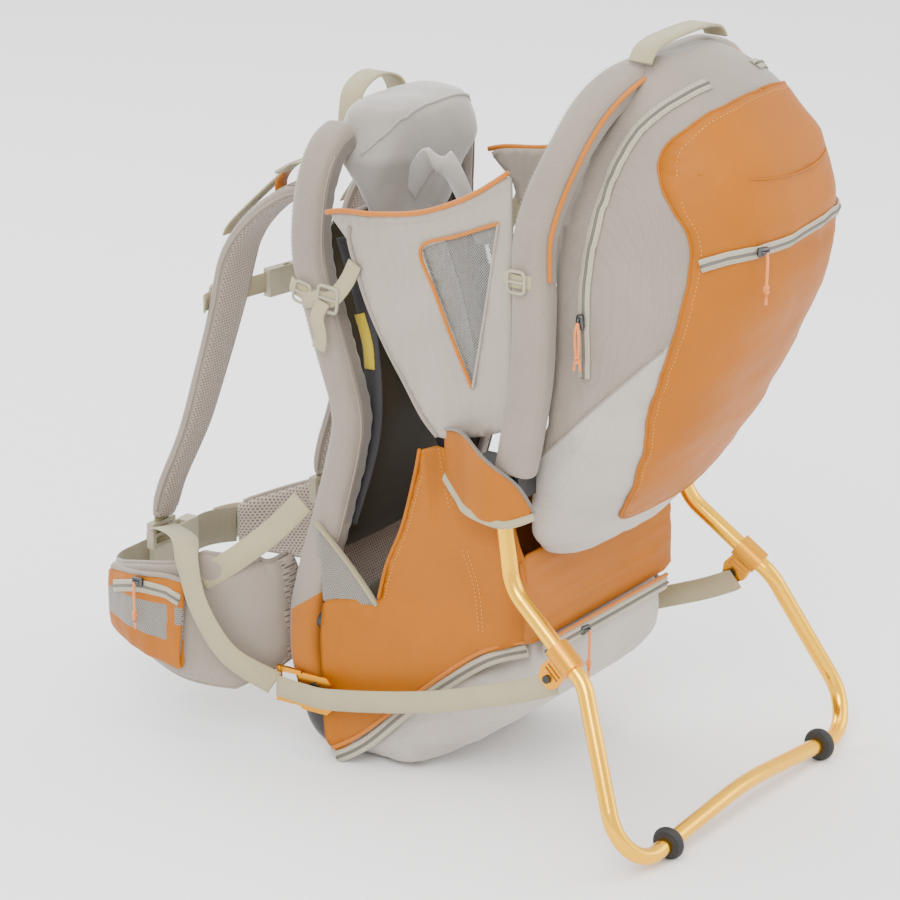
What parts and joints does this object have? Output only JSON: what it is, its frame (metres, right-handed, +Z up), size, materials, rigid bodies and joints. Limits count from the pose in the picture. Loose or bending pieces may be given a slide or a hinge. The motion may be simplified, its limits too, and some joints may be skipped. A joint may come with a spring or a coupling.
{
  "type": "baby carrier backpack",
  "caption": "Framed child carrier worn on the back, with a folding kickstand, padded harness and hip belt, seat, daypack and base bag.",
  "frame": {"origin": "middle of the footprint at ground level, with the carrier standing on its kickstand", "axes": "+Z up, +Y towards the wearer's back and hip belt, +X to the wearer's right"},
  "size_m": [0.4256, 0.7392, 0.7425],
  "materials": {
    "gold_tube": "anodised satin",
    "orange_paint": "satin paint",
    "dark_plastic": "fine texture",
    "bracket_plastic": "moulded",
    "black_rubber": "matt",
    "steel_screw": "blackened",
    "khaki_plastic": "moulded",
    "orange_cloth": "plain weave",
    "grey_cloth": "ripstop weave",
    "taupe_cloth": "plain weave",
    "khaki_webbing": "woven webbing",
    "mesh_cloth": "spacer mesh",
    "window_net": "open net",
    "soft_grey": "brushed fleece",
    "board": "sheet",
    "orange_cord": "braided cord",
    "splice_metal": "plain"
  },
  "bodies": {
    "carrier": {"front_frame_tube": "gold_tube", "frame_splice": "splice_metal", "rear_hoop_tube": "gold_tube", "side_rail_left": "gold_tube", "side_rail_right": "gold_tube", "hinge_bracket_left": "bracket_plastic", "hinge_bracket_right": "bracket_plastic", "rail_clamps": "bracket_plastic", "hinge_pins": "steel_screw", "corner_guard_left": "dark_plastic", "corner_guard_right": "dark_plastic", "frame_sleeve_left": "taupe_cloth", "frame_sleeve_right": "taupe_cloth", "rear_hoop_sleeve": "taupe_cloth", "strap_guide_left": "orange_paint", "strap_guide_right": "orange_paint", "guide_screws": "steel_screw", "base_board": "board", "storage_bag": "grey_cloth", "seat_bucket": "orange_cloth", "cockpit_panel_left": "grey_cloth", "cockpit_panel_right": "grey_cloth", "window_meshes": "window_net", "harness_straps": "soft_grey", "harness_buckle": "dark_plastic", "daypack_body": "grey_cloth", "daypack_pocket": "orange_cloth", "back_panel": "mesh_cloth", "lumbar_pad": "mesh_cloth", "hip_wing_left": "mesh_cloth", "hip_wing_right": "mesh_cloth", "hip_pocket": "orange_cloth", "hip_webbing_left": "khaki_webbing", "hip_webbing_right": "khaki_webbing", "hip_buckle_socket": "khaki_plastic", "shoulder_strap_left": "mesh_cloth", "shoulder_strap_right": "mesh_cloth", "belt_strap_left": "khaki_webbing", "belt_strap_right": "khaki_webbing", "load_lifters": "khaki_webbing", "sternum_straps": "khaki_webbing", "sternum_buckle_socket": "khaki_plastic", "strap_locks": "khaki_plastic", "stand_strap_left": "khaki_webbing", "stand_strap_right": "khaki_webbing", "haul_handle": "khaki_webbing", "daypack_handle": "khaki_webbing", "head_pad": "soft_grey"},
    "kickstand": {"kickstand_tube": "gold_tube", "stand_clamp_left": "orange_paint", "stand_clamp_right": "orange_paint", "clamp_rivets": "steel_screw", "stand_foot_left": "black_rubber", "stand_foot_right": "black_rubber"},
    "hip_plug": {"hip_buckle_plug": "khaki_plastic"},
    "chest_plug": {"sternum_buckle_plug": "khaki_plastic"},
    "storage_slider": {"storage_zip_slider": "orange_cord"},
    "daypack_slider": {"daypack_zip_slider": "orange_cord"},
    "pocket_slider": {"pocket_zip_slider": "orange_cord"},
    "hip_slider": {"hip_zip_slider": "orange_cord"}
  },
  "joints": [
    {"name": "stand_fold", "type": "hinge", "parent": "carrier", "child": "kickstand", "pos_m": [0, -0.14, 0.312], "axis": [1, 0, 0], "range_deg": [0, 40], "deforming": ["stand_strap_left", "stand_strap_right"]},
    {"name": "hip_buckle_release", "type": "slide", "parent": "carrier", "child": "hip_plug", "axis": [-1, 0, 0], "range_m": [0, 0.03]},
    {"name": "chest_buckle_release", "type": "slide", "parent": "carrier", "child": "chest_plug", "axis": [-0.9844, 0.1758, 0], "range_m": [0, 0.022]},
    {"name": "storage_zip", "type": "slide", "parent": "carrier", "child": "storage_slider", "axis": [1, 0, 0], "range_m": [-0.04, 0.12]},
    {"name": "daypack_zip", "type": "slide", "parent": "carrier", "child": "daypack_slider", "axis": [0, 0, 1], "range_m": [-0.05, 0.04]},
    {"name": "pocket_zip", "type": "slide", "parent": "carrier", "child": "pocket_slider", "axis": [0.9787, -0.2051, 0], "range_m": [0, 0.03]},
    {"name": "hip_pocket_zip", "type": "slide", "parent": "carrier", "child": "hip_slider", "axis": [-0.1465, -0.9892, 0], "range_m": [0, 0.04]}
  ]
}
